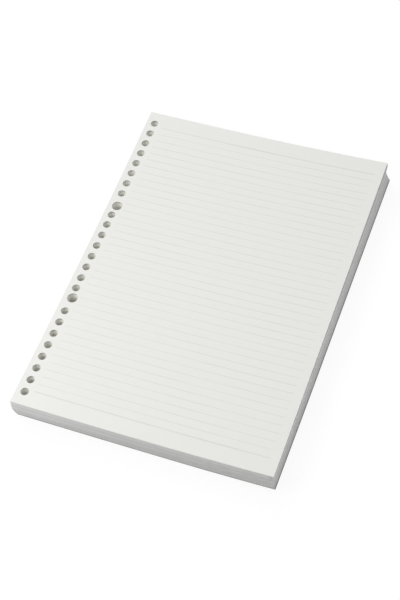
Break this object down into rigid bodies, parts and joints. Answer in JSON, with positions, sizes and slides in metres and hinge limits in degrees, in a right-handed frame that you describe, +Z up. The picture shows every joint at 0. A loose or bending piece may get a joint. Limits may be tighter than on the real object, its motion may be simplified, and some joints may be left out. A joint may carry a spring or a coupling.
{
  "type": "loose-leaf paper stack",
  "caption": "Flat stack of loose ruled refill sheets for a ring binder, punched with a row of ring holes and two larger file holes along one long edge.",
  "frame": {"origin": "middle of the rectangle that the stack covers, on the surface it lies on", "axes": "+Z up through the stack, +Y along the punched edge towards the head of the sheets, punched edge at -X"},
  "size_m": [0.182, 0.257, 0.0186],
  "materials": {
    "paper": "uncoated writing paper, off-white, with thin grey ruled lines"
  },
  "bodies": {
    "stack": {"sheet_002": "paper", "sheet_003": "paper", "sheet_004": "paper", "sheet_005": "paper", "sheet_006": "paper", "sheet_007": "paper", "sheet_008": "paper", "sheet_009": "paper", "sheet_010": "paper", "sheet_011": "paper", "sheet_012": "paper", "sheet_013": "paper", "sheet_014": "paper", "sheet_015": "paper", "sheet_016": "paper", "sheet_017": "paper", "sheet_018": "paper", "sheet_019": "paper", "sheet_020": "paper", "sheet_040": "paper", "sheet_060": "paper", "sheet_080": "paper", "sheet_100": "paper", "sheet_120": "paper", "sheet_140": "paper", "sheet_160": "paper", "sheet_180": "paper", "sheet_200": "paper", "sheets_021_to_039": "paper", "sheets_041_to_059": "paper", "sheets_061_to_079": "paper", "sheets_081_to_099": "paper", "sheets_101_to_119": "paper", "sheets_121_to_139": "paper", "sheets_141_to_159": "paper", "sheets_161_to_179": "paper", "sheets_181_to_199": "paper"},
    "top_sheet": {"sheet_001": "paper"}
  },
  "joints": [
    {"name": "top_sheet_lift", "type": "slide", "parent": "stack", "child": "top_sheet", "axis": [0, 0, 1], "range_m": [0, 0.05]}
  ]
}
